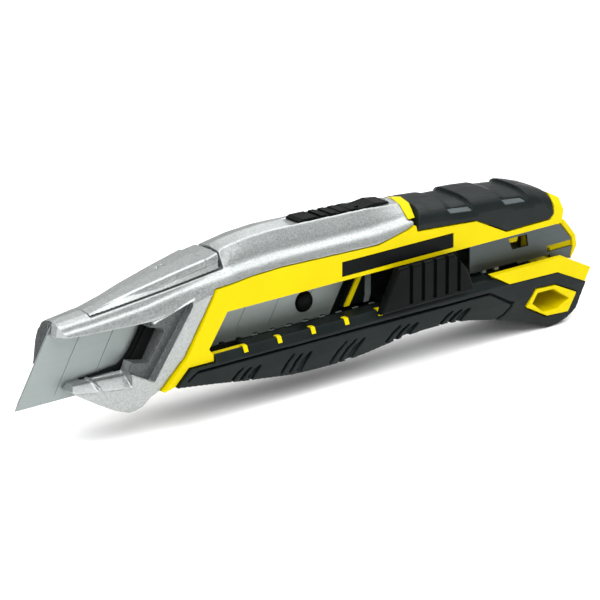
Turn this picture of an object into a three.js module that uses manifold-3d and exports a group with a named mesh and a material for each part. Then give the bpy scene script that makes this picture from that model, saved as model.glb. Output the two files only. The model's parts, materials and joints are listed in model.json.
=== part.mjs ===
// A snap-off utility knife with an 18 mm blade, a cast metal nose, yellow housing halves and a
// rubber grip, in millimetres.
// X runs from the blade's tip to the tail. Y = 0 is the blade's middle plane, with the thumb slider
// on the -Y (near) side. Z = 0 is the cutting edge, and +Z is up. The last lines move the whole
// knife so that its origin is under the middle of its box.
import * as THREE from "three";
import { mergeVertices } from "three/addons/utils/BufferGeometryUtils.js";
import Module from "manifold-3d";

const wasm = await Module();
wasm.setup();

// ---- Driving dimensions ----
const GAP = 0.3; // between neighbouring pieces
const FAR_OUT = 60; // past the outside of everything, for cutters

const BLADE_HEIGHT = 18;
const BLADE_EDGE = 89.4; // length along the cutting edge
const BLADE_THICK = 0.5;
const BLADE_GRIND = 2; // height of the ground cutting bevel
const SEGMENT_PITCH = 10;
const SEGMENTS = 8;
const SCORE_DEPTH = 0.12;
const SLANT = 1 / Math.tan(THREE.MathUtils.degToRad(60)); // X gained per unit of Z on a 60 degree line

const PEG = { x: 83.5, z: 7.9 };
const PEG_RADIUS = 2.3;
const BLADE_HOLE_RADIUS = 2.6;

const SHELL_HALF = 8; // half width of the yellow housing and the casting's belt
const SHELL_INNER = 4.2; // inner face of the housing's side walls
const GRIP_HALF = 9; // half width of the rubber grip
const GRIP_CORE = 7.7; // half width of the pocket in the grip
const GRIP_TOP = 4.5;
const LEDGE = 3.4; // underside of the grip's ledge beside the channel
const LEDGE_START = 60.6;
const CAP_CORE = 6.1; // half width of the housing's block under the rear cap

const CHANNEL = { x0: 50.9, near: -3.6, far: 2.1, bottom: -0.9, top: 19, wall: 0.6 };
const CHANNEL_WINDOW = 131.35; // the near wall is cut away in front of this X
const RACK = { x0: 51, x1: 140.9, near: -3.6, far: -2, top: 4.4, pitch: 5, tooth: 1.1 };

const BLOCK = { x1: 128, near: -2.1, far: 1.3, bottom: 4.8, top: 17.6 };
const PAD = { near: -11.5, far: -9.3 };
const PAD_GROOVES = { first: 106, pitch: 3.65, count: 5, width: 1.1, depth: 0.9 };

const ARCH = { x0: 110, x1: 112.8, bottom: 23.9, half: 5.2 }; // yellow band behind the casting
const CASTING_END = ARCH.x0 - GAP;
const HINGE = { x: 53.6, z: 24.9 }; // the snap lever's pin
const PIN_RADIUS = 0.7;
const ROD_Z = 22.6;
const BUTTON_SEAT = { x0: 77, x1: 108, z0: 27.97, z1: 27.28, half: 3 };

// The line where the casting meets the yellow housing, on the knife's side, from front to back.
const BORDER = [
  [36.1, -1.25],
  [42.8, 5.35],
  [51.5, 19.75],
  [61.6, 20.85],
  [70.6, 21.15],
  [78.7, 20.95],
  [91.9, 20.55],
  [99.3, 20.35],
  [108.1, 22.05],
  [110.6, 22.8],
];
// The rear cap's lower edge, from front to back.
const CAP_EDGE = [
  [111.3, 21.25],
  [129.6, 19.95],
  [139, 15.35],
  [152.6, 15.5],
  [153.6, 16.4],
];
// The hang hole and the ring round it.
const HANG_HOLE = [
  [146.4, -4.1],
  [148, -1.8],
  [153, -1.8],
  [158, -5.2],
  [154.2, -7],
  [150, -6.9],
];
const HANG_RING = [
  [144.3, -4.65],
  [147.4, -0.55],
  [153.9, -0.75],
  [160.7, -4.15],
  [158, -8.65],
  [151, -8.4],
];

// ---- Materials ----
const paint = (color, roughness, metalness = 0) => () =>
  new THREE.MeshStandardMaterial({ color, roughness, metalness });
const castMetal = paint(0xb9bfbf, 0.5, 0.75);
const steel = paint(0xa9b1b0, 0.3, 0.9);
const darkSteel = paint(0x6d777a, 0.45, 0.7);
const yellowPlastic = paint(0xf2df00, 0.4);
const blackPlastic = paint(0x1c2122, 0.45);
const rubber = paint(0x273030, 0.75);

// ---- Shape helpers ----

// A three.js geometry as a manifold-3d solid.
function solid(geometry) {
  const bare = geometry.clone();
  bare.deleteAttribute("normal");
  bare.deleteAttribute("uv");
  const merged = mergeVertices(bare, 1e-4);
  return new wasm.Manifold(
    new wasm.Mesh({
      numProp: 3,
      vertProperties: new Float32Array(merged.attributes.position.array),
      triVerts: new Uint32Array(merged.index.array),
    }),
  );
}

// A closed outline of [x, z] points (with holes) in the side view, thick from y0 to y1.
function plate(points, y0, y1, { round = 0, steps = 2, holes = [] } = {}) {
  const vectors = (outline) => outline.map(([x, z]) => new THREE.Vector2(x, z));
  const outer = vectors(points);
  if (THREE.ShapeUtils.isClockWise(outer)) outer.reverse();
  const shape = new THREE.Shape(outer);
  shape.holes = holes.map((hole) => new THREE.Path(vectors(hole)));
  const geometry = new THREE.ExtrudeGeometry(shape, {
    depth: y1 - y0 - 2 * round,
    bevelEnabled: round > 0,
    bevelThickness: round,
    bevelSize: round,
    bevelOffset: -round,
    bevelSegments: steps,
  });
  return solid(geometry.rotateX(Math.PI / 2).translate(0, y1 - round, 0));
}

function box(x0, x1, y0, y1, z0, z1) {
  const geometry = new THREE.BoxGeometry(x1 - x0, y1 - y0, z1 - z0);
  return solid(geometry.translate((x0 + x1) / 2, (y0 + y1) / 2, (z0 + z1) / 2));
}

// A cylinder along Y.
function barrel(x, z, radius, y0, y1, sides = 24) {
  const geometry = new THREE.CylinderGeometry(radius, radius, y1 - y0, sides);
  return solid(geometry.translate(x, (y0 + y1) / 2, z));
}

// A skin through closed [y, z] rings, one at each x. Every ring has the same number of points,
// anticlockwise when seen from the tail.
function loft(stations) {
  const count = stations[0].ring.length;
  const positions = stations.flatMap(({ x, ring }) => ring.flatMap(([y, z]) => [x, y, z]));
  const faces = [];
  for (let s = 0; s + 1 < stations.length; s++)
    for (let i = 0; i < count; i++) {
      const next = (i + 1) % count;
      const [a, b, c, d] = [s * count + i, s * count + next, (s + 1) * count + next, (s + 1) * count + i];
      faces.push(a, b, c, a, c, d);
    }
  const capOf = (ring) =>
    THREE.ShapeUtils.triangulateShape(
      ring.map(([y, z]) => new THREE.Vector2(y, z)),
      [],
    );
  const last = (stations.length - 1) * count;
  for (const [a, b, c] of capOf(stations[0].ring)) faces.push(c, b, a);
  for (const [a, b, c] of capOf(stations.at(-1).ring)) faces.push(last + a, last + b, last + c);
  const geometry = new THREE.BufferGeometry();
  geometry.setAttribute("position", new THREE.Float32BufferAttribute(positions, 3));
  geometry.setIndex(faces);
  return solid(geometry);
}

// A ring that is the same on both sides, from one side's [half width, z] points, top to bottom.
function bothSides(half) {
  const near = half.map(([y, z]) => [-y, z]);
  const far = half.filter(([y]) => y > 0).reverse();
  return [...near, ...far];
}

const shifted = (points, dx, dz) => points.map(([x, z]) => [x + dx, z + dz]);
const union = (...solids) => solids.reduce((a, b) => a.add(b));
const cut = (body, ...cutters) => cutters.reduce((a, b) => a.subtract(b), body);

const knife = new THREE.Group();
function piece(name, shape, material) {
  const { vertProperties, triVerts } = shape.getMesh();
  const geometry = new THREE.BufferGeometry();
  geometry.setAttribute("position", new THREE.BufferAttribute(vertProperties, 3));
  geometry.setIndex(new THREE.BufferAttribute(triVerts, 1));
  const mesh = new THREE.Mesh(geometry, material());
  mesh.name = name;
  knife.add(mesh);
}

// ---- The outer form that the casting, the snap lever and the arch band share ----
// Each station: x, then [half width, z] of crown, brow, shoulder, flank and belt.
const CROWN_STATIONS = [
  [7, 18.4, [1.2, 18.3], [2.4, 17.6], [3.4, 16], [4, 13]],
  [10.2, 19.2, [1.9, 19.1], [3.1, 18.4], [4.3, 16.8], [4.8, 14]],
  [19, 20, [2.5, 19.8], [3.6, 19], [5.2, 17.8], [5.7, 15]],
  [32, 22.9, [3.1, 22.6], [4.5, 20.9], [5.9, 19.4], [6.5, 16]],
  [43, 25, [3.4, 24.7], [4.8, 22.3], [6.3, 20.6], [7.3, 17]],
  [55.3, 27.2, [3.8, 26.8], [5.2, 23.7], [6.4, 22.3], [8, 19.8]],
  [57, 28.2, [3.2, 27.4], [5.2, 24.8], [5.9, 23.2], [8, 20.4]],
  [63, 29.1, [2.9, 28.2], [5.1, 25.8], [5.8, 23.6], [8, 20.9]],
  [71, 29.6, [2.9, 28.7], [5.1, 26.3], [5.8, 23.8], [8, 21.2]],
  [77, 29.3, [2.9, 28.4], [5.1, 26], [5.8, 23.6], [8, 21]],
  [99, 28.7, [2.9, 27.8], [5.1, 25.4], [5.8, 23.3], [8, 20.6]],
  [109.7, 27.6, [2.9, 26.8], [5, 25], [5.9, 24.2], [8, 22.9]],
  [113.6, 27.2, [2.9, 26.5], [5, 24.9], [6.2, 24], [8, 22.4]],
];
const crownForm = loft(
  CROWN_STATIONS.map(([x, top, ...half]) => {
    const belt = half.at(-1)[0];
    return { x, ring: bothSides([[0, top], ...half, [belt, -4], [belt - 1, -6], [0, -6]]) };
  }),
);

// ---- Blade group ----
function blade() {
  const t = BLADE_THICK / 2;
  const section = [
    [-t, BLADE_GRIND],
    [0, 0],
    [t, BLADE_GRIND],
    [t, BLADE_HEIGHT],
    [-t, BLADE_HEIGHT],
  ];
  const reach = BLADE_EDGE + BLADE_HEIGHT * SLANT;
  const strip = loft([
    { x: 0, ring: section },
    { x: reach, ring: section },
  ]);
  const leaning = [
    [0, 0],
    [BLADE_EDGE, 0],
    [reach, BLADE_HEIGHT],
    [BLADE_HEIGHT * SLANT, BLADE_HEIGHT],
  ];
  let body = strip.intersect(plate(leaning, -1, 1));
  body = cut(body, barrel(PEG.x, PEG.z, BLADE_HOLE_RADIUS, -1, 1));
  const score = [
    [-0.1, -0.2],
    [0.1, -0.2],
    [0.1 + 18.4 * SLANT, 18.2],
    [-0.1 + 18.4 * SLANT, 18.2],
  ];
  for (let i = 1; i <= SEGMENTS; i++)
    body = cut(body, plate(shifted(score, i * SEGMENT_PITCH, 0), -1, SCORE_DEPTH - t));
  return body;
}

function bladePeg() {
  const head = PEG_RADIUS;
  const profile = [
    [0, 0],
    [1.3, 0],
    [1.3, 0.8],
    [head, 0.8],
    [head, 1.9],
    [head * 0.85, 2.25],
    [head * 0.5, 2.5],
    [0, 2.6],
  ];
  const geometry = new THREE.LatheGeometry(
    profile.map(([r, h]) => new THREE.Vector2(r, h)),
    24,
  );
  return solid(geometry.rotateX(Math.PI).translate(PEG.x, 1.15, PEG.z));
}

function bladeCarrier() {
  const front = (z) => BLADE_EDGE + z * SLANT + 1.2;
  const block = plate(
    [
      [front(BLOCK.bottom), BLOCK.bottom],
      [BLOCK.x1, BLOCK.bottom],
      [BLOCK.x1, BLOCK.top - 2],
      [BLOCK.x1 - 2, BLOCK.top],
      [front(BLOCK.top), BLOCK.top],
    ],
    BLOCK.near,
    BLOCK.far,
  );
  const tongue = plate(
    [
      [75, 1.5],
      [104, 1.5],
      [104, 14],
      [77, 14],
      [74, 11],
      [74, 2.5],
    ],
    0.35,
    BLOCK.far,
  );
  return cut(union(block, tongue), barrel(PEG.x, PEG.z, 1.6, 0, 2));
}

function releaseBar() {
  const foot = [
    [93.8, 4.95],
    [95.2, 4.95],
    [99, 11.5],
    [97.6, 11.5],
  ];
  return plate(foot, BLOCK.near - 0.6, BLOCK.near);
}

const SPRING_THICK = 0.3;
function detentSpring() {
  const leaf = [
    [99.9, 4.75],
    [101.3, 4.75],
    [101.9, 6.4],
    [101.9, 13.4],
    [100.3, 13.4],
    [100.3, 6.4],
  ];
  const hole = barrel(101.1, 11.8, 0.35, -4, 0, 12);
  return cut(plate(leaf, BLOCK.near - SPRING_THICK, BLOCK.near), hole);
}

function detentRivet() {
  const face = BLOCK.near - SPRING_THICK;
  return barrel(101.1, 11.8, 0.7, face - 0.3, face, 16);
}

function thumbSlider() {
  const pad = [
    [97.6, 4.3],
    [126.4, 4.3],
    [123.9, 10.4],
    [119.9, 14.6],
    [102.9, 14.6],
  ];
  const web = box(103, 116.4, PAD.far - 1, BLOCK.near, 4.8, 6);
  let body = union(plate(pad, PAD.near, PAD.far, { round: 0.6 }), web);
  const { first, pitch, count, width, depth } = PAD_GROOVES;
  for (let i = 0; i < count; i++) {
    const x = first + i * pitch;
    body = cut(body, box(x, x + width, PAD.near - 1, PAD.near + depth, 5.2, 16));
  }
  return body;
}

piece("blade", blade(), steel);
piece("blade_peg", bladePeg(), blackPlastic);
piece("blade_carrier", bladeCarrier(), blackPlastic);
piece("release_bar", releaseBar(), yellowPlastic);
piece("detent_spring", detentSpring(), steel);
piece("detent_rivet", detentRivet(), steel);
piece("thumb_slider", thumbSlider(), blackPlastic);

// ---- Channel, rack and end plug ----
// The channel's tail end in the side view, which the plug's rim follows.
const CHANNEL_END = [
  [162.9, 2.6],
  [163.6, 5.1],
  [163.3, 7.3],
  [159.9, 11.4],
];
function bladeChannel() {
  const { x0, near, far, bottom, top, wall } = CHANNEL;
  const rearTop = [
    [158, 12],
    [152.8, 12],
    [152.4, top],
  ];
  const farWall = [
    [x0, bottom],
    [140, bottom],
    [141, 2.6],
    ...CHANNEL_END,
    ...rearTop,
    [x0, top],
  ];
  const nearWall = [
    [CHANNEL_WINDOW, 5.1],
    [146.2, 5.1],
    [146.4, 4.5],
    [156.6, 4.7],
    [157, 2.7],
    ...CHANNEL_END,
    ...rearTop,
    [x0, top],
    [x0, 14.6],
    [CHANNEL_WINDOW, 14.6],
  ];
  const notch = [
    [143.4, 11.3],
    [144.7, 8.4],
    [149.75, 8.3],
    [149.2, 11.3],
  ];
  const slot = box(155.7, 170, near - 1, near + wall + 0.1, 5.4, 7);
  return cut(
    union(
      plate(farWall, far - wall, far),
      plate(nearWall, near, near + wall, { holes: [notch] }),
      box(x0, 152.4, near, far, top - wall, top),
      box(x0, 140, near, far, bottom, bottom + wall),
    ),
    slot,
  );
}

function lockRack() {
  const floor = CHANNEL.bottom + CHANNEL.wall;
  let body = box(RACK.x0, RACK.x1, RACK.near, RACK.far, floor, RACK.top);
  for (let x = RACK.x0 + 2; x < RACK.x1 - 2; x += RACK.pitch)
    body = cut(body, box(x, x + RACK.pitch - RACK.tooth, RACK.near + 0.5, RACK.far + 1, 3.4, 6));
  return body;
}

function endPlug() {
  const rim = [
    [163.3, 2],
    [165.3, 5.1],
    [164.9, 7.9],
    [161.2, 12.5],
  ];
  const tab = [
    [152, 12.6],
    [144, 12.6],
    [144, 9.7],
    [147, 9.7],
    [147.6, 11.5],
    [151.5, 11.5],
  ];
  const body = [[151.5, 5.9], [157.4, 5.9], [157.6, 3.1], ...rim, [158, 11.6], ...tab];
  const lip = [...rim, ...shifted(CHANNEL_END, 0.35, 0.1).reverse()];
  return union(
    plate(body, CHANNEL.near + 0.9, CHANNEL.far - 0.9),
    plate(lip, CHANNEL.near, CHANNEL.far),
  );
}

piece("blade_channel", bladeChannel(), darkSteel);
piece("lock_rack", lockRack(), blackPlastic);
piece("end_plug", endPlug(), yellowPlastic);

// The room kept free round the channel and everything that slides in it.
const channelRoom = box(
  46.5,
  170,
  CHANNEL.near - GAP,
  CHANNEL.far + GAP,
  CHANNEL.bottom - GAP,
  CHANNEL.top + GAP,
);

// ---- Nose casting and snap mechanism ----
// The near side's window over the blade, and the shallow recess round it.
const NOSE_WINDOW = [
  [0, 15.9],
  [10.2, 15.9],
  [35.4, 15.5],
  [34.3, 13.8],
  [37.8, 12.8],
  [38.5, 11.8],
  [34.5, 5.3],
  [29.7, 6.3],
  [28.6, 4.1],
  [14, 4.1],
  [11, 3.2],
  [0, 3.2],
];
const NOSE_RECESS = [
  [28.6, 4.1],
  [34.8, 1],
  [45.4, 17],
  [45.3, 18.2],
  [33, 15.2],
  [28, 12],
];
const LEVER_PLANE = { x0: 19.1, z0: 19.3, x1: 55.2, z1: 23.6 };

function noseCasting() {
  const side = [
    [10.3, 40],
    [10.3, 18.6],
    [7.8, 8.8],
    [9.2, 8.2],
    [16, 8.2],
    [17.5, 4.1],
    [14, 4],
    [12.9, 2.9],
    [19.9, -1.5],
    [28, -5.1],
    [31.3, -4.2],
    ...BORDER,
    [110.9, 23.5],
    [CASTING_END, ARCH.bottom - GAP],
    [CASTING_END, 40],
  ];
  const { x0, z0, x1, z1 } = LEVER_PLANE;
  const leverPocket = [
    [x0 - GAP, z0 - GAP],
    [x1 + 0.4, z1 - 0.35],
    [x1 + 0.4, 40],
    [x0 - GAP, 40],
  ];
  const seat = [
    [BUTTON_SEAT.x0, BUTTON_SEAT.z0 + 0.1],
    [BUTTON_SEAT.x1, BUTTON_SEAT.z1],
    [BUTTON_SEAT.x1, 40],
    [BUTTON_SEAT.x0 - 1, 40],
  ];
  const lug = union(
    barrel(HINGE.x, HINGE.z, 1.25, -1.5, 1.5),
    box(HINGE.x, 57, -1.5, 1.5, HINGE.z - 1.25, HINGE.z + 0.2),
    box(HINGE.x - 1.1, 56, -1.5, 1.5, 22.6, HINGE.z - 0.4),
  );
  const shell = cut(
    plate(side, -SHELL_HALF, SHELL_HALF).intersect(crownForm),
    plate(NOSE_WINDOW, -FAR_OUT, -0.7),
    plate(NOSE_RECESS, -FAR_OUT, -5.2),
    box(0, 60, -0.7, 0.7, -0.5, BLADE_HEIGHT + 0.15), // slot for the blade
    box(27, 60, -1.6, 1.7, -0.5, BLADE_HEIGHT + 0.15), // room for the carrier's tongue and peg
    channelRoom,
    plate(leverPocket, -FAR_OUT, FAR_OUT),
    plate(seat, -BUTTON_SEAT.half, BUTTON_SEAT.half),
    box(57.6, 106, -3.2, 3.2, 18, 25.2), // room for the link rod and its spring
    box(83, 99.6, -1.6, 1.6, 25, 40), // slot for the button's stem
    box(CASTING_END, FAR_OUT * 2, -ARCH.half - GAP, ARCH.half + GAP, 15, 40),
  );
  return cut(union(shell, lug), barrel(HINGE.x, HINGE.z, PIN_RADIUS + 0.15, -2, 2));
}

function snapLever() {
  const { x0, z0, x1, z1 } = LEVER_PLANE;
  const wedge = [
    [x0, z0],
    [x1 - 0.8, z1 - 0.1],
    [x1, z1 + 0.8],
    [x1, HINGE.z + 1],
    [x1 - 0.8, HINGE.z + 1.9],
    [x1 - 0.8, 40],
    [x0, 40],
  ];
  const lugRoom = union(
    barrel(HINGE.x, HINGE.z, 1.6, -1.8, 1.8),
    box(HINGE.x, 60, -1.8, 1.8, 20, HINGE.z + 1.2),
    box(HINGE.x - 1.6, 60, -1.8, 1.8, 20, HINGE.z),
  );
  const form = plate(wedge, -SHELL_HALF, SHELL_HALF).intersect(crownForm);
  return cut(form, lugRoom, barrel(HINGE.x, HINGE.z, PIN_RADIUS + 0.15, -3.9, 3.9));
}

function snapButton() {
  const seatAt = (x) => {
    const share = (x - BUTTON_SEAT.x0) / (BUTTON_SEAT.x1 - BUTTON_SEAT.x0);
    return THREE.MathUtils.lerp(BUTTON_SEAT.z0, BUTTON_SEAT.z1, share) + GAP / 2;
  };
  const top = [
    [107.2, 27.8],
    [103.2, 28.4],
    [98.8, 27.85],
    [97.2, 28.3],
    [83.2, 28.85],
    [81.4, 28.9],
    [80.4, 28.5],
  ];
  const pad = [[80.4, seatAt(80.4)], [107.2, seatAt(107.2)], ...top];
  let body = plate(pad, -2.5, 2.5);
  for (let i = 0; i < 4; i++) body = cut(body, box(85.6 + i * 2.9, 86.9 + i * 2.9, -4, 4, 28.25, 40));
  return union(body, box(86.2, 99, -1.2, 1.2, ROD_Z - 1.2, 28.3));
}

function snapLinkRod() {
  const x0 = 60.4;
  const x1 = 86.2;
  const geometry = new THREE.CylinderGeometry(0.9, 0.9, x1 - x0, 16);
  return solid(geometry.rotateZ(Math.PI / 2).translate((x0 + x1) / 2, 0, ROD_Z));
}

const COIL = { x0: 62, length: 20, turns: 8, radius: 1.9, wire: 0.35 };
class CoilCurve extends THREE.Curve {
  getPoint(t) {
    const turn = t * COIL.turns * 2 * Math.PI;
    const x = COIL.x0 + t * COIL.length;
    return new THREE.Vector3(x, COIL.radius * Math.cos(turn), ROD_Z + COIL.radius * Math.sin(turn));
  }
}
function snapReturnSpring() {
  const wire = new THREE.Shape();
  for (let i = 0; i < 6; i++) {
    const angle = (i * Math.PI) / 3;
    const [a, b] = [COIL.wire * Math.cos(angle), COIL.wire * Math.sin(angle)];
    if (i === 0) wire.moveTo(a, b);
    else wire.lineTo(a, b);
  }
  const path = new CoilCurve();
  return solid(new THREE.ExtrudeGeometry(wire, { steps: COIL.turns * 10, extrudePath: path }));
}

piece("nose_casting", noseCasting(), castMetal);
piece("snap_lever", snapLever(), castMetal);
piece("snap_lever_pin", barrel(HINGE.x, HINGE.z, PIN_RADIUS, -3.7, 3.7, 16), steel);
piece("snap_button", snapButton(), blackPlastic);
piece("snap_link_rod", snapLinkRod(), steel);
piece("snap_return_spring", snapReturnSpring(), steel);

// ---- Yellow housing halves ----
const TAIL_STRIP = [
  [133.6, 5.6],
  [139.2, 2.35],
  [154.3, 2.1],
  [163.1, -2],
  [164.9, 1.2],
  [156.3, 5.55],
];
const HOUSING_REAR = [
  [153.9, 16.4],
  [153.9, 21.2],
  [157.3, 19.4],
  [156.3, 13.8],
];
const SCREWS = [
  { name: "housing_screw_front", x: 62, z: 17.2, out: SHELL_HALF },
  { name: "housing_screw_middle", x: 103, z: 16.6, out: SHELL_HALF },
  { name: "housing_screw_rear", x: 146, z: 3.95, out: GRIP_HALF },
];
const SCREW = { head: 1.5, headDepth: 1, shank: 0.9 };

// One housing half's solids on the near side. The far half is the same mirrored, but its side
// wall closes the slot.
function housingHalf(lower) {
  const upper = [
    ...shifted(BORDER, GAP, -GAP),
    ...shifted(CAP_EDGE, 0, -GAP),
    ...HOUSING_REAR,
    ...lower,
    [50.6, 2.85],
    [43.4, 2.85],
    [39.4, -0.9],
  ];
  const archFoot = [
    [ARCH.x0, 19.6],
    [111, 19.6],
    [111, 21.2],
    [ARCH.x1, 26.4],
    [ARCH.x0, 26.4],
  ];
  const arch = [
    [ARCH.x0, ARCH.bottom],
    [111.9, ARCH.bottom],
    [ARCH.x1, 26.4],
    [ARCH.x1, 40],
    [ARCH.x0, 40],
  ];
  const capCore = [
    [113.6, 19.3],
    [152.8, 15.5],
    [152.8, 18.6],
    [145, 20.2],
    [127, 21.6],
    [113.6, 22.4],
  ];
  // Takes the corner off the rim behind the rear cap, which slopes down to the tail.
  const rimCorner = loft([
    { x: 153.65, ring: [[-9, 22.7], [-9, 17.6], [-4.4, 22.7]] },
    { x: 158, ring: [[-9, 20.4], [-9, 15.3], [-4.4, 20.4]] },
  ]);
  return union(
    cut(plate(upper, -SHELL_HALF, 0), box(30, 110, -SHELL_INNER, 1, -10, 40), rimCorner),
    plate(arch, -SHELL_HALF, 0).intersect(crownForm),
    plate(archFoot, -ARCH.half, 0).intersect(crownForm),
    plate(capCore, -CAP_CORE, 0),
    box(111, 113.7, -CAP_CORE, 0, 19.6, 21),
    cut(plate([...HOUSING_REAR, [152, 13.8], [152, 15.1]], -SHELL_HALF + 1.2, 0), rimCorner),
    box(50.9, 141, -GRIP_CORE + GAP, CHANNEL.near - GAP, -1.3, LEDGE - GAP),
    box(49, LEDGE_START - GAP, -GRIP_CORE + GAP, -6, 2.9, 4.3),
    plate(TAIL_STRIP, -GRIP_HALF, CHANNEL.near - GAP),
  );
}

const SLOT_EDGE = 13.8; // lower edge of the near half above the slider's slot
const TAIL_TRAY = { rim: 7.4, floor: 3.3 }; // behind the near tail strip's outer rim
function housingNear() {
  const lower = [
    [156.3, SLOT_EDGE],
    [54.7, SLOT_EDGE],
    [49.3, 5.9],
    [50.5, 4.4],
  ];
  const tailTray = box(130, 170, -TAIL_TRAY.rim, 0, TAIL_TRAY.floor, 6);
  return cut(housingHalf(lower), channelRoom, labelInlay(GAP / 2), tailTray);
}

function housingFar() {
  const lower = [
    [156.3, 5.2],
    [134.4, 5.2],
    [133.2, 4.8],
    [50.6, 4.8],
  ];
  const mirrored = housingHalf(lower).mirror([0, 1, 0]);
  let body = cut(mirrored, channelRoom);
  for (const { x, z, out } of SCREWS) {
    body = cut(
      body,
      barrel(x, z, SCREW.head + GAP, out - SCREW.headDepth - 0.5, out + 1),
      barrel(x, z, SCREW.shank + GAP, 0, out + 1, 16),
    );
  }
  return body;
}

function housingScrew({ x, z, out }) {
  const seat = out - SCREW.headDepth - 0.5;
  return union(
    barrel(x, z, SCREW.head, seat, seat + SCREW.headDepth, 20),
    barrel(x, z, SCREW.shank, CHANNEL.far + 0.5, seat, 12),
  );
}

// A plain black bar let into the near side. Its seat is the same bar grown on all sides.
const LABEL = { x0: 88.7, x1: 122.3, z0: 14.9, z1: 18.25, depth: 0.5 };
function labelInlay(grow = 0) {
  const inner = -SHELL_HALF + LABEL.depth + grow;
  const { x0, x1, z0, z1 } = LABEL;
  return box(x0 - grow, x1 + grow, -SHELL_HALF - grow, inner, z0 - grow, z1 + grow);
}

piece("housing_near", housingNear(), yellowPlastic);
piece("housing_far", housingFar(), yellowPlastic);
piece("label_inlay", labelInlay(), blackPlastic);
for (const screw of SCREWS) piece(screw.name, housingScrew(screw), darkSteel);

// ---- Rear cap ----
// Each station: x and the height of the flat top, with a step down behind each ridge.
const CAP_TOP = [
  [110.8, 26.5],
  [121.2, 25.75],
  [122.3, 25.15],
  [127.7, 24.9],
  [127.9, 25.5],
  [137, 24.9],
  [138.8, 24.2],
  [145.2, 23.45],
  [145.4, 24.05],
  [151.4, 22.5],
  [154, 21.4],
];
function rearCap() {
  const envelope = loft(
    CAP_TOP.map(([x, z]) => ({
      x,
      ring: bothSides([[0, z + 0.15], [4, z], [6.4, z - 1], [7.6, z - 2.2], [8, z - 3.6], [8, 10], [0, 10]]),
    })),
  );
  const side = [...CAP_EDGE, [153.6, 40], [113.1, 40], [113.1, 26.4]];
  const core = [
    [113.3, 10],
    [113.3, 22.8],
    [127, 22],
    [145, 20.6],
    [153.1, 19],
    [153.1, 10],
  ];
  return cut(
    plate(side, -SHELL_HALF, SHELL_HALF).intersect(envelope),
    plate(core, -CAP_CORE - GAP, CAP_CORE + GAP),
    box(110, 114, -CAP_CORE - GAP, CAP_CORE + GAP, 10, 21.3),
  );
}
piece("rear_cap", rearCap(), rubber);

// ---- Rubber grip and hang hole ----
function lowerGrip() {
  const outline = [
    [39.6, -1],
    [43.6, 2.55],
    [50.9, 2.55],
    [50.9, GRIP_TOP],
    [134.9, GRIP_TOP],
    [139.1, 2.05],
    [154.2, 1.8],
    [162.8, -2.3],
    [160.6, -8.8],
    [155.5, -11.3],
    [152.3, -11.5],
    [144, -8.6],
    [135.3, -5.85],
    [126.8, -4.1],
    [119.7, -3.2],
    [106.8, -3.7],
    [95, -5.2],
    [84.4, -5.8],
    [73.8, -5.5],
    [59.9, -3.8],
    [50, -2.3],
  ];
  return cut(
    plate(outline, -GRIP_HALF, GRIP_HALF, { round: 1.2 }),
    box(50.6, 141.3, -GRIP_CORE, GRIP_CORE, -1.6, LEDGE),
    box(50.6, LEDGE_START, -GRIP_CORE, GRIP_CORE, LEDGE - 0.1, 10),
    box(50.5, 142, CHANNEL.near - GAP, -CHANNEL.near + GAP, LEDGE - 0.1, 10),
    box(30, 51, CHANNEL.near - GAP, CHANNEL.far + GAP, -0.3, 10),
    box(141, 170, CHANNEL.near - GAP, -CHANNEL.near + GAP, 0.3, 10),
    plate(HANG_RING, -FAR_OUT, FAR_OUT),
  );
}

// The ring is smaller all round than its seat in the grip.
function hangHoleRing() {
  const middle = new THREE.Vector2(152.4, -4.6);
  const fit = HANG_RING.map(([x, z]) => {
    const arm = new THREE.Vector2(x, z).sub(middle);
    return arm.setLength(arm.length() - GAP).add(middle).toArray();
  });
  return plate(fit, -GRIP_HALF - 0.2, GRIP_HALF + 0.2, { holes: [HANG_HOLE] });
}
piece("lower_grip", lowerGrip(), rubber);
piece("hang_hole_ring", hangHoleRing(), yellowPlastic);

// The origin goes under the middle of the knife's box.
const bounds = new THREE.Box3().setFromObject(knife);
const middle = bounds.getCenter(new THREE.Vector3());
knife.position.set(-middle.x, -middle.y, -bounds.min.z);

export default knife;
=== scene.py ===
"""Looks of the snap-off utility knife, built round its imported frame.

Design numbers are in millimetres in the knife's own layout: X from the blade's tip to the tail,
Y = 0 in the blade's middle plane with the thumb slider on the -Y side, Z = 0 at the cutting edge.
mm() turns them into the frame's metres.
"""

import json
import math

import bmesh
import bpy
from mathutils import Matrix, Vector


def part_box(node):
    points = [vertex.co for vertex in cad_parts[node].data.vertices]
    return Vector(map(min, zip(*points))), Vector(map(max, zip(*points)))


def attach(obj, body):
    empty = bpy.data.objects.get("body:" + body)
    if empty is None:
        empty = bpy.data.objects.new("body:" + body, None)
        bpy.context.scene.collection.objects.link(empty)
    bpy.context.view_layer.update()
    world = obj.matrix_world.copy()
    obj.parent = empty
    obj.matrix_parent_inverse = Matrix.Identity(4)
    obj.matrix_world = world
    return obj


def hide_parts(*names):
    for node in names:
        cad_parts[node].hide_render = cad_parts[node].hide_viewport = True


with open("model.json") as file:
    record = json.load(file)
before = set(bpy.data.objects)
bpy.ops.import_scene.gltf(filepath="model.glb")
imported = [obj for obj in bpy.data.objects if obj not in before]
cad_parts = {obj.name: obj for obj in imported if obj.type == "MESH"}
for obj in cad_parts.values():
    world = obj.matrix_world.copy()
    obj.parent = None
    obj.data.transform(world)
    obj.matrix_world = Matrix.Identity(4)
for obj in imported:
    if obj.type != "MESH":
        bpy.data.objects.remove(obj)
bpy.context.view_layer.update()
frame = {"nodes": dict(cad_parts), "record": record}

blade_low, blade_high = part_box("blade")
ORIGIN = Vector((blade_low[0], (blade_low[1] + blade_high[1]) / 2, blade_low[2]))


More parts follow.
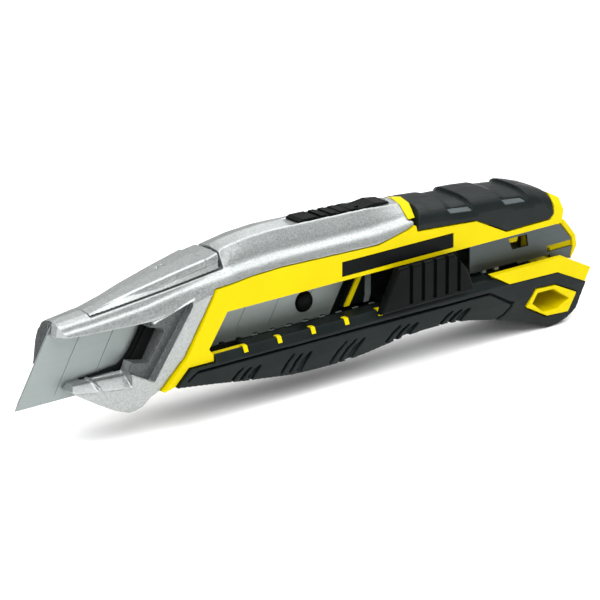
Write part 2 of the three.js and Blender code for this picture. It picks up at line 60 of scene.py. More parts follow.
def mm(x, y, z):
    """A point of the knife's own layout, in millimetres, as a point of the frame."""
    return ORIGIN + Vector((x, y, z)) / 1000


# ---- Camera, lights and floor ----
CAMERA_AZIMUTH = math.radians(-39.509)
CAMERA_ELEVATION = math.radians(18.967)
CAMERA_DISTANCE = 1.400845
CAMERA_TARGET = mm(82.579, 0, 8.414)
CAMERA_LENS = 364.265
SENSOR_WIDTH = 36
VIEW_END = 20
# The studio's lamps: name, place, the two sides, and power.
LAMPS = (
    ("key", (-0.15, -0.45, 0.9), (1.1, 1.1), 12),
    ("fill", (-0.8, -0.6, 0.3), (0.8, 0.4), 2.5),
    ("strip", (0.65, 0.08, 0.8), (1.0, 0.16), 3),
)
LAMP_AIM = Vector((0, 0, 0.02))
SKY_STRENGTH = 1.3
SKY_LOW = 0.28  # brightness at the horizon, against 1 overhead
FLOOR_HALF = 4.0
FLOOR_Z = -0.0002


def add_camera():
    back = Vector((
        math.sin(CAMERA_AZIMUTH) * math.cos(CAMERA_ELEVATION),
        -math.cos(CAMERA_AZIMUTH) * math.cos(CAMERA_ELEVATION),
        math.sin(CAMERA_ELEVATION),
    ))
    data = bpy.data.cameras.new("camera")
    data.lens = CAMERA_LENS
    data.sensor_width = SENSOR_WIDTH
    data.clip_end = VIEW_END
    camera = bpy.data.objects.new("camera", data)
    bpy.context.scene.collection.objects.link(camera)
    camera.location = CAMERA_TARGET + back * CAMERA_DISTANCE
    camera.rotation_euler = (-back).to_track_quat("-Z", "Y").to_euler()
    bpy.context.scene.camera = camera


def add_lamp(name, spot, size, power):
    data = bpy.data.lights.new(name, "AREA")
    data.shape = "RECTANGLE"
    data.size, data.size_y = size
    data.energy = power
    light = bpy.data.objects.new(name, data)
    bpy.context.scene.collection.objects.link(light)
    light.location = spot
    light.rotation_euler = (LAMP_AIM - Vector(spot)).to_track_quat("-Z", "Y").to_euler()


def add_sky():
    """A white sky that darkens towards the horizon."""
    world = bpy.data.worlds.new("studio")
    bpy.context.scene.world = world
    world.use_nodes = True
    tree = world.node_tree
    background = tree.nodes["Background"]
    background.inputs["Strength"].default_value = SKY_STRENGTH
    coordinates = tree.nodes.new("ShaderNodeTexCoord")
    split = tree.nodes.new("ShaderNodeSeparateXYZ")
    tree.links.new(coordinates.outputs["Generated"], split.inputs["Vector"])
    sky = ramp(tree, split.outputs["Z"], (SKY_LOW,) * 3, (1, 1, 1), 0.12, 0.8)
    tree.links.new(sky, background.inputs["Color"])


def add_floor():
    floor_mesh = bpy.data.meshes.new("floor")
    half = FLOOR_HALF
    corners = [(-half, -half, 0), (half, -half, 0), (half, half, 0), (-half, half, 0)]
    floor_mesh.from_pydata(corners, [], [(0, 1, 2, 3)])
    floor = bpy.data.objects.new("floor", floor_mesh)
    bpy.context.scene.collection.objects.link(floor)
    floor.location.z = FLOOR_Z
    floor_mesh.materials.append(floor_material())


def add_studio():
    add_sky()
    for lamp in LAMPS:
        add_lamp(*lamp)
    bpy.context.scene.view_settings.view_transform = "Standard"
    add_floor()


# ---- Materials ----
def new_material(name, color, roughness, metallic=0.0, gloss=0.5):
    material = bpy.data.materials.new(name)
    material.use_nodes = True
    shader = material.node_tree.nodes["Principled BSDF"]
    shader.inputs["Base Color"].default_value = (*color, 1)
    shader.inputs["Roughness"].default_value = roughness
    shader.inputs["Metallic"].default_value = metallic
    shader.inputs["Specular IOR Level"].default_value = gloss
    return material, material.node_tree, shader


def noise(tree, scale, detail=4.0, rough=0.6, stretch=(1, 1, 1)):
    """A noise texture in the object's own coordinates."""
    coordinates = tree.nodes.new("ShaderNodeTexCoord")
    mapping = tree.nodes.new("ShaderNodeMapping")
    mapping.inputs["Scale"].default_value = stretch
    texture = tree.nodes.new("ShaderNodeTexNoise")
    texture.inputs["Scale"].default_value = scale
    texture.inputs["Detail"].default_value = detail
    texture.inputs["Roughness"].default_value = rough
    tree.links.new(coordinates.outputs["Object"], mapping.inputs["Vector"])
    tree.links.new(mapping.outputs["Vector"], texture.inputs["Vector"])
    return texture


def ramp(tree, source, low, high, start=0.35, end=0.65):
    """source turned into a colour between low and high."""
    node = tree.nodes.new("ShaderNodeValToRGB")
    node.color_ramp.elements[0].position = start
    node.color_ramp.elements[0].color = (*low, 1)
    node.color_ramp.elements[1].position = end
    node.color_ramp.elements[1].color = (*high, 1)
    tree.links.new(source, node.inputs["Fac"])
    return node.outputs["Color"]


def add_bump(tree, shader, height, strength, distance):
    bump = tree.nodes.new("ShaderNodeBump")
    bump.inputs["Strength"].default_value = strength
    bump.inputs["Distance"].default_value = distance
    tree.links.new(height, bump.inputs["Height"])
    tree.links.new(bump.outputs["Normal"], shader.inputs["Normal"])


def moulded(name, low, high, roughness, grain, depth, gloss):
    """A plastic or rubber with a fine mould grain, slight colour drift and uneven gloss."""
    material, tree, shader = new_material(name, low, roughness[0], 0.0, gloss)
    drift = noise(tree, 60, 3)
    tree.links.new(ramp(tree, drift.outputs["Fac"], low, high), shader.inputs["Base Color"])
    sheen = noise(tree, 350, 4)
    rough = ramp(tree, sheen.outputs["Fac"], (roughness[0],) * 3, (roughness[1],) * 3)
    tree.links.new(rough, shader.inputs["Roughness"])
    fine = noise(tree, grain, 2, 0.5)
    add_bump(tree, shader, fine.outputs["Fac"], 0.25, depth)
    return material


def floor_material():
    material, tree, shader = new_material("floor_paper", (0.93, 0.93, 0.93), 0.85)
    grain = noise(tree, 30, 3)
    tree.links.new(
        ramp(tree, grain.outputs["Fac"], (0.92, 0.92, 0.92), (0.94, 0.94, 0.94)),
        shader.inputs["Base Color"],
    )
    return material


def cast_metal(name, low, high):
    """Sand-blasted zinc: a fine speckle with small pits."""
    material, tree, shader = new_material(name, low, 0.4, 0.85)
    sand = noise(tree, 2200, 3, 0.7)
    tree.links.new(ramp(tree, sand.outputs["Fac"], low, high, 0.3, 0.7), shader.inputs["Base Color"])
    rough = ramp(tree, sand.outputs["Fac"], (0.3,) * 3, (0.44,) * 3)
    tree.links.new(rough, shader.inputs["Roughness"])
    add_bump(tree, shader, sand.outputs["Fac"], 0.5, 0.0001)
    return material


def ground_steel(name, low, high, roughness, metallic):
    """Satin steel with fine grinding marks."""
    material, tree, shader = new_material(name, low, roughness, metallic)
    marks = noise(tree, 900, 3, 0.6, (0.05, 1, 1))
    tree.links.new(ramp(tree, marks.outputs["Fac"], low, high), shader.inputs["Base Color"])
    rough = ramp(tree, marks.outputs["Fac"], (roughness,) * 3, (roughness + 0.12,) * 3)
    tree.links.new(rough, shader.inputs["Roughness"])
    add_bump(tree, shader, marks.outputs["Fac"], 0.15, 0.00002)
    return material


MATERIALS = {
    "cast_metal": cast_metal("cast_metal", (0.25, 0.266, 0.264), (0.41, 0.43, 0.426)),
    "blade_steel": ground_steel(
        "blade_steel", (0.23, 0.262, 0.255), (0.25, 0.282, 0.275), roughness=0.38, metallic=0.6
    ),
    "channel_steel": ground_steel(
        "channel_steel", (0.065, 0.078, 0.081), (0.078, 0.092, 0.096), roughness=0.4, metallic=0.9
    ),
    "yellow_plastic": moulded(
        "yellow_plastic",
        (0.53, 0.43, 0.0),
        (0.57, 0.46, 0.0),
        roughness=(0.36, 0.44),
        grain=3000,
        depth=0.00002,
        gloss=0.06,
    ),
    "black_plastic": moulded(
        "black_plastic",
        (0.002, 0.0025, 0.0025),
        (0.004, 0.005, 0.005),
        roughness=(0.36, 0.46),
        grain=3200,
        depth=0.00003,
        gloss=0.05,
    ),
    "grip_rubber": moulded(
        "grip_rubber",
        (0.003, 0.0055, 0.0055),
        (0.006, 0.0095, 0.009),
        roughness=(0.34, 0.46),
        grain=2400,
        depth=0.00005,
        gloss=0.14,
    ),
}
# A darker copy of the casting's metal that paints the shade on the recess in the cheek and on the far
# cheek's front.
CAST_METAL_PAINTED_SHADE = cast_metal("cast_metal_painted_shade", (0.045, 0.05, 0.05), (0.11, 0.12, 0.12))


# ---- Shape helpers, in the knife's own millimetres ----
def skin(rings):
    """A closed solid through rings of (x, y, z) points that all have the same length."""
    shape = bmesh.new()
    loops = [[shape.verts.new(point) for point in ring] for ring in rings]
    for a, b in zip(loops, loops[1:]):
        for i in range(len(a)):
            j = (i + 1) % len(a)
            shape.faces.new((a[i], a[j], b[j], b[i]))
    shape.faces.new(loops[0])
    shape.faces.new(loops[-1])
    bmesh.ops.recalc_face_normals(shape, faces=shape.faces)
    mesh = bpy.data.meshes.new("shape")
    shape.to_mesh(mesh)
    shape.free()
    body = bpy.data.objects.new("shape", mesh)
    bpy.context.scene.collection.objects.link(body)
    return body


def plate(points, y0, y1):
    """A slab with a closed outline of (x, z) points in the side view."""
    return skin([[(x, y, z) for x, z in points] for y in (y0, y1)])


def plan_plate(points, z0, z1):
    """A slab with a closed outline of (x, y) points seen from above."""
    return skin([[(x, y, z) for x, y in points] for z in (z0, z1)])


def bar_along_x(section, x0, x1):
    """A bar with a closed section of (y, z) points."""
    return skin([[(x, y, z) for y, z in section] for x in (x0, x1)])


def box(x0, x1, y0, y1, z0, z1):
    return plate([(x0, z0), (x1, z0), (x1, z1), (x0, z1)], y0, y1)


def barrel(x, z, radius, y0, y1, sides=32):
    """A cylinder along Y."""
    turns = [2 * math.pi * i / sides for i in range(sides)]
    return plate([(x + radius * math.cos(t), z + radius * math.sin(t)) for t in turns], y0, y1)


def mirrored(points):
    """The closed outline of one side's (y, z) points and their mirror."""
    return [(-y, z) for y, z in points] + [(y, z) for y, z in reversed(points) if y > 0]


def settle(body):
    """Applies all the modifiers, and drops the empty material slots that they leave."""
    graph = bpy.context.evaluated_depsgraph_get()
    mesh = bpy.data.meshes.new_from_object(body.evaluated_get(graph))
    mesh.materials.clear()
    body.modifiers.clear()
    body.data = mesh


def combine(body, operation, others):
    """One boolean step for each of the others, which are used up."""
    for other in others:
        step = body.modifiers.new("step", "BOOLEAN")
        step.operation = operation
        step.solver = "MANIFOLD"
        step.object = other
    settle(body)
    for other in others:
        bpy.data.objects.remove(other)
    return body


def cut(body, *cutters):
    return combine(body, "DIFFERENCE", cutters)


def union(body, *others):
    return combine(body, "UNION", others)


def common(body, *others):
    return combine(body, "INTERSECT", others)


def shade_smooth(body):
    body.data.polygons.foreach_set("use_smooth", [True] * len(body.data.polygons))


def melt(body, voxel, passes, keep):
    """Turns a body into a fine, evenly meshed skin with soft edges, as casting and moulding leave it."""
    remesh = body.modifiers.new("remesh", "REMESH")
    remesh.mode = "VOXEL"
    remesh.voxel_size = voxel
    soft = body.modifiers.new("soft", "SMOOTH")
    soft.factor = 0.5
    soft.iterations = passes
    thin = body.modifiers.new("thin", "DECIMATE")
    thin.ratio = keep
    settle(body)
    shade_smooth(body)
    return body


def round_edges(node, width):
    """Rounds a CAD node's sharp edges. width is in metres."""
    weld = node.modifiers.new("weld", "WELD")
    weld.merge_threshold = 1e-7
    flat = node.modifiers.new("flat", "DECIMATE")
    flat.decimate_type = "DISSOLVE"
    flat.angle_limit = math.radians(0.5)
    bevel = node.modifiers.new("bevel", "BEVEL")
    bevel.width = width
    bevel.segments = 2
    bevel.limit_method = "ANGLE"
    bevel.angle_limit = math.radians(30)
    bevel.harden_normals = True


def place(body, name, slot, part, *nodes):
    """Moves a finished body into the frame, and makes it ride on a CAD body and stand for nodes."""
    body.name = name
    body.data.name = name
    body.data.transform(Matrix.Translation(ORIGIN) @ Matrix.Scale(0.001, 4))
    if not body.data.materials:
        body.data.materials.append(MATERIALS[slot])
    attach(body, part)
    if nodes:
        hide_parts(*nodes)


# ---- The crown: the outer form that the casting and the snap lever share ----
# Each station: x, top, then (half width, z) of brow, shoulder, flank, step and belt.
CROWN = [
    (7, 17.4, (0.8, 17.3), (1.6, 16.9), (2.2, 15.9), (2.5, 15.6), (2.8, 13)),
    (8.6, 18.5, (1.3, 18.3), (2.6, 17.7), (3.1, 16.5), (3.5, 16.2), (3.9, 13.5)),
    (10.4, 19.3, (1.9, 19.0), (3.4, 18.3), (3.8, 17.0), (4.4, 16.7), (4.9, 14)),
    (19, 20.1, (2.5, 19.8), (4.1, 18.9), (4.4, 17.7), (5.1, 17.3), (5.7, 15)),
    (32, 22.9, (3.1, 22.6), (4.9, 20.3), (5.2, 19.0), (5.9, 18.5), (6.5, 16)),
    (43, 25.1, (3.4, 24.7), (5.2, 22.0), (5.6, 20.9), (6.3, 20.3), (7.3, 17)),
    (55.3, 27.3, (3.8, 26.8), (5.3, 23.6), (5.8, 22.8), (7.1, 22.1), (8, 19.8)),
    (57, 28.2, (3.2, 27.4), (5.2, 24.8), (5.8, 23.3), (7.3, 22.4), (8, 20.4)),
    (63, 29.0, (3.3, 28.3), (4.8, 25.7), (5.5, 23.6), (7.3, 22.7), (8, 20.9)),
    (71, 29.5, (3.4, 28.7), (4.8, 26.1), (5.5, 24.0), (7.3, 23.0), (8, 21.2)),
    (77, 29.3, (3.4, 28.5), (4.8, 25.9), (5.5, 23.9), (7.3, 22.9), (8, 21)),
    (99, 28.7, (3.4, 27.9), (4.8, 25.4), (5.5, 23.6), (7.3, 22.6), (8, 20.6)),
    (109.7, 27.6, (3.1, 27.0), (5, 25.2), (5.8, 24.2), (7.3, 23.5), (8, 22.0)),
    (113.6, 27.2, (2.9, 26.5), (5, 24.9), (6.2, 24), (7.0, 23.3), (8, 22.2)),
]
CROWN_STEP = 0.8
CROWN_SPREAD = (-0.8, -0.4, 0, 0.4, 0.8)  # each section is the mean of the stations this far off


def between(a, b, share):
    """The value, or the tuple of values, at a share of the way from a to b."""
    if isinstance(a, tuple):
        return tuple(p + (q - p) * share for p, q in zip(a, b))
    return a + (b - a) * share


def station(x):
    """The crown's station at x, on straight lines between the given ones."""
    for (x0, *low), (x1, *high) in zip(CROWN, CROWN[1:]):
        if x <= x1:
            share = (x - x0) / (x1 - x0)
            return [between(a, b, share) for a, b in zip(low, high)]
    return list(CROWN[-1][1:])


def rounded_line(points, passes=2):
    """Cuts the corners of an open line again and again. Its ends stay."""
    for _ in range(passes):
        inner = []
        for (a, b), (c, d) in zip(points, points[1:]):
            inner.append((a * 0.75 + c * 0.25, b * 0.75 + d * 0.25))
            inner.append((a * 0.25 + c * 0.75, b * 0.25 + d * 0.75))
        points = [points[0], *inner[1:-1], points[-1]]
    return points


def crown(lift=0.0):
    """The crown form, with lift added to the heights of its upper side."""
    first, last = CROWN[0][0], CROWN[-1][0]
    count = round((last - first) / CROWN_STEP)
    rings = []
    for i in range(count + 1):
        x = first + (last - first) * i / count
        near = [station(min(max(x + d, first), last)) for d in CROWN_SPREAD]
        top = sum(row[0] for row in near) / len(near)
        half = [(0, top + lift)]
        for k in range(1, 6):
            width = sum(row[k][0] for row in near) / len(near)
            height = sum(row[k][1] for row in near) / len(near)
            half.append((width, height + lift))
        # Points close to the brow keep its crease tight when the line is rounded.
        after_brow = between(half[1], half[2], 0.2)
        before_brow = between(half[0], half[1], 0.8)
        half.insert(2, after_brow)
        half.insert(1, before_brow)
        belt = half[-1][0]
        ring = mirrored([*rounded_line(half), (belt, -4), (belt - 1, -6), (0, -6)])
        rings.append([(x, y, z) for y, z in ring])
    return skin(rings)


# ---- Nose casting ----
BORDER = [
    (36.1, -1.25),
    (42.8, 5.35),
    (51.5, 19.75),
    (61.6, 20.85),
    (70.6, 21.15),
    (78.7, 20.95),
    (91.9, 20.55),
    (99.3, 20.35),
    (108.1, 22.05),
    (110.6, 22.8),
]
WIDE = 30  # past the outside, for cutters
NOSE_FRONT = 10.3
LIP_FRONT = 11.5
CROWN_END = 109.7
SLOT_WALL = 0.7  # half the width of the slot that the blade runs in
PIN = (53.6, 24.9)
LEVER_LOW = ((19.1, 19.3), (55.2, 23.6))  # underside of the snap lever, front and rear


def channel_room():
    return box(46.5, 170, -3.9, 2.4, -1.2, 19.3)


def inside(outline, x, z):
    """Whether (x, z) is inside a closed outline."""
    hits = 0
    for (ax, az), (bx, bz) in zip(outline, outline[1:] + outline[:1]):
        if (az > z) != (bz > z) and x < ax + (z - az) / (bz - az) * (bx - ax):
            hits += 1
    return hits % 2 == 1


def recess_y(z):
    """The floor of the recess in the near cheek."""
    return -4.3 - 0.085 * z


def lip_slope(x, z):
    """A ring of the cutter that slants the guard lip's top outwards."""
    return [(x, -3.4, z - 0.2), (x, -2.2, z), (x, -2.2, 7), (x, -9, 7), (x, -9, z - 4.7)]


def nose_casting():
    side = [
        (NOSE_FRONT, 40),
        (NOSE_FRONT, 18.6),
        (7.8, 8.8),
        (9.2, 8.2),
        (16, 8.2),
        (17.5, 4.1),
        (14, 4),
        (12.9, 2.9),
        (16, 0.7),
        (19.9, -1.5),
        (24, -3.6),
        (28, -5.1),
        (29.6, -4.9),
        (31.3, -4.2),
        (33.5, -2.4),
        *BORDER,
        (110.9, 23.5),
        (CROWN_END, 23.6),
        (CROWN_END, 40),
    ]
    window = [
        (0, 15.9),
        (10.2, 15.9),
        (35.4, 15.5),
        (34.3, 13.8),
        (37.8, 12.8),
        (38.5, 11.8),
        (34.5, 5.3),
        (29.7, 6.3),
        (28.6, 4.1),
        (14, 4.1),
        (11, 3.2),
        (0, 3.2),
    ]
    recess = [(28.6, 4.1), (34.8, 1), (45.4, 17), (45.3, 18.2), (33, 15.2), (28, 12)]
    recess_floor = [(x, recess_y(z), z) for x, z in recess]
    front_corner = [(5, -2.8), (NOSE_FRONT, -2.8), (10.9, -3.9), (12.2, -4.9), (12.2, -6.5), (5, -6.5)]
    (x0, z0), (x1, z1) = LEVER_LOW
    lever_pocket = [(x0 - 0.3, z0 - 0.3), (x1 + 0.4, z1 - 0.35), (x1 + 0.4, 40), (x0 - 0.3, 40)]
    button_seat = [(77, 28.07), (108, 27.28), (108, 40), (76, 40)]
    body = common(crown(), plate(side, -9, 9))
    cut(
        body,
        plate(window, -WIDE, -SLOT_WALL),
        skin([[(x, -9, z) for x, z in recess], recess_floor]),
        skin([lip_slope(10, 4.3), lip_slope(28.6, 3.4)]),
        plan_plate(front_corner, 9, 40),
        box(0, 60, -SLOT_WALL, SLOT_WALL, -0.5, 18.15),
        box(27, 60, -1.6, 1.7, -0.5, 18.15),
        channel_room(),
        plate(lever_pocket, -WIDE, WIDE),
        plate(button_seat, -3, 3),
        box(57.6, 106, -3.2, 3.2, 18, 25.2),
        box(83, 99.6, -1.6, 1.6, 25, 40),
        box(CROWN_END, 120, -5.5, 5.5, 15, 40),
    )
    rib = skin([
        [(45.5, -5.4, 18.0), (46, -7.75, 18.5), (45.8, -5.4, 19.2)],
        [(34.3, -4.9, 14.0), (34.6, -7.0, 14.9), (34.2, -4.9, 15.9)],
    ])
    band = skin([
        [
            (x, -0.9, 4.35),
            (x + 0.2, -2.4, 4.25),
            (x + 0.8, -5.9, 2.6),
            (x + 1.0, -5.9, 1.2),
            (x, -0.9, 3),
        ]
        for x in (18.7, 19.5)
    ])
    lug = barrel(*PIN, 1.25, -1.5, 1.5)
    union(body, rib, band, lug, box(PIN[0] - 1.1, 57, -1.5, 1.5, 22.6, PIN[1]))
    melt(body, voxel=0.18, passes=2, keep=0.35)
    body.data.materials.append(MATERIALS["cast_metal"])
    body.data.materials.append(CAST_METAL_PAINTED_SHADE)
    # The recess floor and the far cheek's front face take the darker copy, as painted shade.
    for face in body.data.polygons:
        x, y, z = face.center
        on_recess_floor = inside(recess, x, z) and abs(y - recess_y(z)) < 0.3
        on_far_front = x < LIP_FRONT and y > -SLOT_WALL and z > 8 and face.normal.x < -0.6
        if on_recess_floor or on_far_front:
            face.material_index = 1
    return body


def painted_shade_pieces():
    """Dark plastic pieces that paint the shade behind the nose window and on the far cheek's inner face.
    """
    near = [
        (38.3, 15.3),
        (35.0, 15.3),
        (35.2, 13.2),
        (33.6, 10.6),
        (31.8, 7.96),
        (30.1, 6.3),
        (28.4, 5.2),
        (23.2, 4.65),
        (17.5, 4.3),
        (17.5, 3.2),
        (36, 3.6),
        (40.5, 11.8),
    ]
    thick = [
        (38.6, 15.3),
        (36.0, 15.3),
        (36.0, 13.0),
        (34.3, 10.6),
        (32.5, 7.96),
        (31.0, 6.3),
        (31.0, 4.2),
        (36, 3.6),
        (40.5, 11.8),
    ]
    far = [(10.5, 17.6), (8.1, 9.0), (9.4, 8.5), (16, 8.5), (16, 17.6)]
    body = union(plate(near, -1.4, -0.5), plate(thick, -2.05, -1.3), plate(far, 0.42, 0.66))
    # Room for the blade's peg when the slider is right forward.
    cut(body, box(34.8, 45, -1.6, 0, 5.2, 10.6))
    return melt(body, voxel=0.12, passes=2, keep=0.5)


# ---- Snap lever ----
# The raised panel: x, half width and z of its flat top.
LEVER_PANEL = [
    (22.3, 2.2, 20.2),
    (22.8, 2.5, 20.7),
    (32, 3.4, 22.9),
    (43, 4.3, 25.1),
    (50.8, 4.9, 26.5),
    (51.2, 4.7, 26.3),
    (54.9, 4.3, 27.0),
]


def snap_lever():
    (x0, z0), (x1, z1) = LEVER_LOW
    wedge = [
        (x0, z0),
        (x1 - 0.8, z1 - 0.1),
        (x1, z1 + 0.8),
        (x1, PIN[1] + 1),
        (x1 - 0.8, PIN[1] + 1.9),
        (x1 - 0.8, 40),
        (x0, 40),
    ]
    rear = x1 + 0.1
    half_plan = [(x0 - 1, 0), (x0 - 1, 4), (rear - 2.6, 8), (rear, 3.6), (rear, 0)]
    plan = half_plan + [(x, -y) for x, y in half_plan[-2:0:-1]]
    body = common(crown(-0.15), plate(wedge, -9, 9), plan_plate(plan, 10, 40))
    rings = []
    for x, w, z in LEVER_PANEL:
        low = z - 1.7
        half = [(0, z + 0.1), (w - 0.35, z - 0.1), (w, z - 0.45), (w + 0.4, low), (0, low)]
        rings.append([(x, y, h) for y, h in mirrored(half)])
    union(body, skin(rings))
    cut(
        body,
        barrel(*PIN, 1.4, -1.7, 1.7),
        box(PIN[0] - 1.4, 60, -1.7, 1.7, 20, PIN[1]),
        box(41.2, 42.1, 0.9, 1.8, 24.4, 27),
        box(42.8, 43.5, 0.9, 1.5, 24.6, 27),
        barrel(*PIN, 0.85, -3.9, 3.9),
    )
    return melt(body, voxel=0.15, passes=1, keep=0.4)


# ---- Rear cap ----
CAP_TOP = [
    (110.8, 26.5),
    (116, 26.2),
    (121.2, 25.75),
    (122.3, 25.15),
    (127.2, 24.9),
    (127.6, 24.6),
    (127.9, 25.65),
    (132, 25.4),
    (137, 24.9),
    (138.8, 24.2),
    (144.7, 23.5),
    (145.1, 23.2),
    (145.4, 24.2),
    (148, 23.6),
    (151.4, 22.5),
    (154, 21.4),
]
# Outlines of the light ledges on the cap's flanks, from the upper front corner.
CAP_LEDGES = [
    [(121.2, 24.16), (127.84, 23.48), (128.74, 22.42), (121.9, 23.14)],
    [(138.06, 22.95), (144.11, 22.23), (145.24, 21.28), (138.75, 21.82)],
]


def cap_form():
    """The cap's outside. Its ridges lean back as they come down the flanks."""
    rings = []
    for x, z in CAP_TOP:
        corners = [(0, z + 0.15), (4.2, z), (6.4, z - 1), (7.6, z - 2.3), (8, z - 4)]
        half = rounded_line(corners, 1)
        lean = 0.6 if 122 < x < 150 else 0
        ring = [(x + lean * (z - h), y, h) for y, h in mirrored(half)]
        low = [(x, 8, 10), (x, 0, 10), (x, -8, 10)]
        turn = len(half)
        rings.append(ring[:turn] + low[::-1] + ring[turn:])
    return skin(rings)


def rear_cap():
    edge = [(111.3, 21.25), (129.6, 19.95), (139, 15.35), (152.6, 15.5), (153.6, 16.4)]
    side = [*edge, (153.6, 40), (113.1, 40), (113.1, 26.4)]
    body = common(cap_form(), plate(side, -8, 8))
    core = [(113.3, 10), (113.3, 22.8), (127, 22), (145, 20.6), (153.1, 19), (153.1, 10)]
    cut(body, plate(core, -6.4, 6.4), box(110, 114, -6.4, 6.4, 10, 21.3))
    for a, b, c, d in CAP_LEDGES:
        pocket = [d, c, (b[0] - 0.6, b[1] + 1.6), (a[0] - 1.2, a[1] + 1.6)]
        cut(body, plate(pocket, -9, -6.5), plate(pocket, 6.5, 9))
    return melt(body, voxel=0.2, passes=2, keep=0.35)


def cap_ledges():
    """Light pads on the ledges below the cap's ridges."""
    pads = []
    for a, b, c, d in CAP_LEDGES:
        for sign in (-1, 1):
            upper, lower = sign * 6.3, sign * 7.45
            top = [(*a, upper), (*b, upper), (*c, lower), (*d, lower)]
            outside = [(x, y, z) for x, z, y in top]
            rings = [outside, [(x, sign * 6, z - 0.6) for x, y, z in outside]]
            pads.append(skin(rings))
    return union(*pads)


# ---- Rubber grip, its ticks and the rack's dashes ----
GROOVE_BOTTOM = 7.9  # from the middle plane


def groove(path, width):
    """A cutter for a groove on both flanks, along a line of (x, z) points in the side view."""
    left, right = [], []
    for i, (x, z) in enumerate(path):
        ax, az = path[max(i - 1, 0)]
        bx, bz = path[min(i + 1, len(path) - 1)]
        length = math.hypot(bx - ax, bz - az)
        nx, nz = -(bz - az) / length, (bx - ax) / length
        half = width[i] / 2 if isinstance(width, (list, tuple)) else width / 2
        left.append((x + nx * half, z + nz * half))
        right.append((x - nx * half, z - nz * half))
    outline = left + right[::-1]
    return [plate(outline, -WIDE, -GROOVE_BOTTOM), plate(outline, GROOVE_BOTTOM, WIDE)]


# The belly's slanted grooves, three to a group: x and z of the first one's top, its drop and lean.
BELLY_GROUPS = (
    (58.6, -0.3, 2.6, 3.4),
    (73.7, -0.2, 4.2, 3.9),
    (89.7, -0.5, 4.8, 5.3),
    (105.8, -0.4, 3.4, 4.6),
    (121.9, -0.4, 2.6, 4.2),
)


def lower_grip():
    outline = [
        (39.6, -1),
        (43.6, 2.55),
        (50.9, 2.55),
        (50.9, 4.5),
        (134.9, 4.5),
        (139.2, 2.3),
        (154.3, 2.05),
        (163.6, -2.15),
        (161.1, -8.5),
        (158.4, -10.4),
        (155.5, -11.3),
        (152.3, -11.5),
        (144, -8.6),
        (135.3, -5.85),
        (126.8, -4.1),
        (119.7, -3.2),
        (113, -3.25),
        (106.8, -3.7),
        (95, -5.2),
        (89.5, -5.65),
        (84.4, -5.8),
        (73.8, -5.5),
        (59.9, -3.8),
        (50, -2.3),
    ]
    half = [(0, 4.6), (7.9, 4.6), (8.1, 4.45), (9, 2.5), (9, -2.2), (8.7, -4.5), (7.8, -14), (0, -14)]
    body = common(plate(outline, -9, 9), bar_along_x(mirrored(half), 30, 170))
    ring = [(144.3, -4.65), (147.4, -0.55), (153.9, -0.75), (160.7, -4.15), (158, -8.65), (151, -8.4)]
    cut(
        body,
        box(50.6, 141.3, -7.7, 7.7, -1.6, 3.4),
        box(50.6, 60.6, -7.7, 7.7, 3.3, 10),
        box(50.5, 142, -3.9, 3.9, 3.3, 10),
        box(30, 51, -3.9, 2.4, -0.3, 10),
        box(141, 170, -3.9, 3.9, 0.3, 10),
        plate(ring, -WIDE, WIDE),
    )
    border_line = [(42.4, -0.1), (45.3, 1.6), (80, 1.5), (133.1, 1.25), (139.4, -2.3), (140.2, -2.6)]
    cut(body, *groove(border_line, 0.55))
    tail_arc = [(140.5, -2.2), (139.7, -3.6), (138, -4.9), (135.5, -5.8)]
    cut(body, *groove(tail_arc, 0.6))
    for x, top, drop, lean in BELLY_GROUPS:
        for k, wide in enumerate((0.8, 0.95, 1.8)):
            start = x + 2.6 * k
            high = top - 0.25 * k
            bend = (start - lean * 0.55, high - drop * 0.42)
            path = [(start, high), bend, (start - lean, high - drop)]
            cut(body, *groove(path, [0.4, wide * 0.85, wide]))
    return melt(body, voxel=0.2, passes=2, keep=0.35)


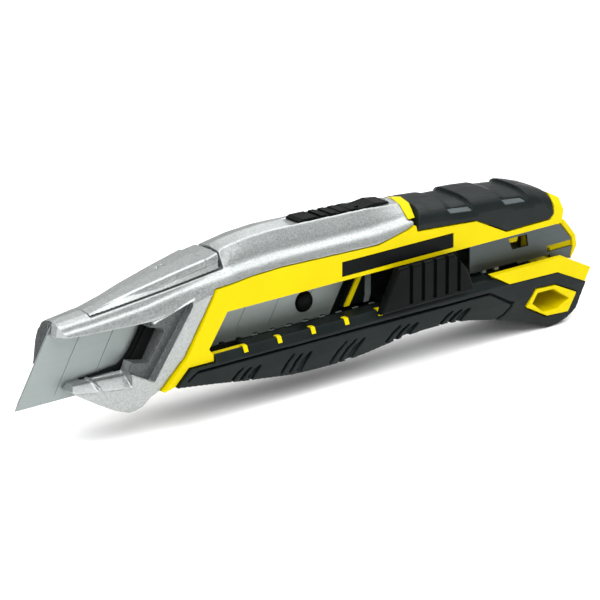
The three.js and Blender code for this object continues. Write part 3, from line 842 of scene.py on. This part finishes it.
def grip_ticks():
    """Yellow length marks let into the grip's upper edge, 10 mm apart."""
    strip = [
        (-6.9, 4.45),
        (-6.9, 4.66),
        (-7.95, 4.66),
        (-8.2, 4.5),
        (-8.78, 3.2),
        (-8.6, 3.15),
        (-8.0, 4.3),
        (-7.8, 4.45),
    ]
    return union(*(bar_along_x(strip, 59 + 10 * k, 60.2 + 10 * k) for k in range(5)))


def rack_dashes():
    """Light steel tips on the lock rack's teeth, standing for their edges and painting the highlights on
    them, and two tabs at its rear end.
    """
    tips = [box(65.6 + 5 * k, 67.2 + 5 * k, -3.5, -3.1, 4.35, 4.55) for k in range(13)]
    tabs = [box(x, x + 1.2, -3.5, -2.6, 4.35, 5.05) for x in (135.4, 139.3)]
    return union(*tips, *tabs)


# ---- Carried-over CAD nodes ----
# Bevel widths in millimetres.
EDGE_ROUNDING = {
    "housing_near": 0.35,
    "housing_far": 0.35,
    "thumb_slider": 0.18,
    "snap_button": 0.15,
    "blade_channel": 0.12,
    "end_plug": 0.25,
    "hang_hole_ring": 0.25,
    "label_inlay": 0.05,
    "release_bar": 0.08,
    "lock_rack": 0.06,
    "blade_carrier": 0.15,
}


def dress_cad_nodes():
    slots = {row["node"]: row["material_slot"] for row in frame["record"]["subparts"]}
    for name, node in frame["nodes"].items():
        material = MATERIALS[slots[name]]
        if not node.material_slots:
            node.data.materials.append(material)
        for material_slot in node.material_slots:
            material_slot.material = material
        if name in EDGE_ROUNDING:
            round_edges(node, EDGE_ROUNDING[name] / 1000)


add_camera()
add_studio()
dress_cad_nodes()
place(nose_casting(), "casting_skin", "cast_metal", "handle", "nose_casting")
place(snap_lever(), "lever_skin", "cast_metal", "lever", "snap_lever")
# Dark pieces that paint the shade in the nose window and on the far cheek's inner face.
place(painted_shade_pieces(), "painted_shade_pieces", "black_plastic", "handle")
place(rear_cap(), "cap_skin", "grip_rubber", "handle", "rear_cap")
place(cap_ledges(), "cap_ledges", "channel_steel", "handle")
place(lower_grip(), "grip_skin", "grip_rubber", "handle", "lower_grip")
place(grip_ticks(), "grip_ticks", "yellow_plastic", "handle")
# Light steel tips that paint the highlights on the rack's tooth edges.
place(rack_dashes(), "rack_dashes", "blade_steel", "handle")
